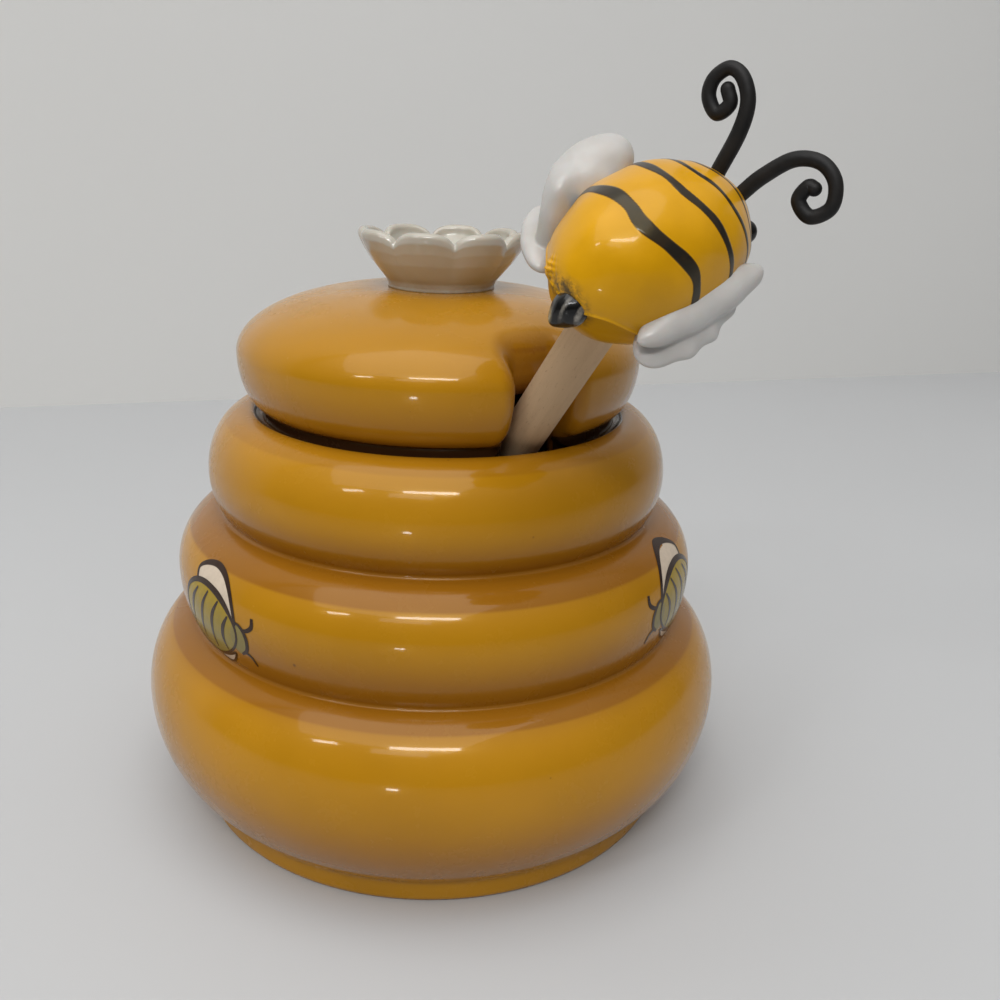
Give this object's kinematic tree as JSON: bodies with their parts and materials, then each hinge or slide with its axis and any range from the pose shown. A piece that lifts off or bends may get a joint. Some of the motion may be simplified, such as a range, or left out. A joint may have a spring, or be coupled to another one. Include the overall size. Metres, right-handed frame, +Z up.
{
  "type": "ceramic honey pot with lid and dipper",
  "caption": "Beehive-shaped glazed honey pot with a lift-off notched lid, a flower knob and a wooden dipper topped by a moulded bee.",
  "frame": {"origin": "centre of the pot's underside, on the pot's own axis", "axes": "+Z up along the pot's axis; -Y towards the pot's front, from which the dipper leans out to the right (+X)"},
  "size_m": [0.122, 0.1295, 0.1478],
  "materials": {
    "honey_glaze": "glossy",
    "white_glaze": "glossy",
    "beech": "matte",
    "bee_paint": "satin",
    "white_paint": "satin",
    "black_paint": "satin"
  },
  "bodies": {
    "pot": {"pot_body": "honey_glaze"},
    "lid": {"lid": "honey_glaze", "flower_knob": "white_glaze"},
    "dipper": {"dipper": "beech", "bee_body": "bee_paint", "bee_wing_left": "white_paint", "bee_wing_right": "white_paint", "bee_antenna_left": "black_paint", "bee_antenna_right": "black_paint", "bee_eye_left": "black_paint", "bee_eye_right": "black_paint", "bee_stinger": "black_paint"}
  },
  "joints": [
    {"name": "lid_lift", "type": "slide", "parent": "pot", "child": "lid", "axis": [0, 0, 1], "range_m": [0, 0.07]},
    {"name": "dipper_draw", "type": "slide", "parent": "pot", "child": "dipper", "axis": [0.3155, -0.5554, 0.7694], "range_m": [0, 0.04]}
  ]
}
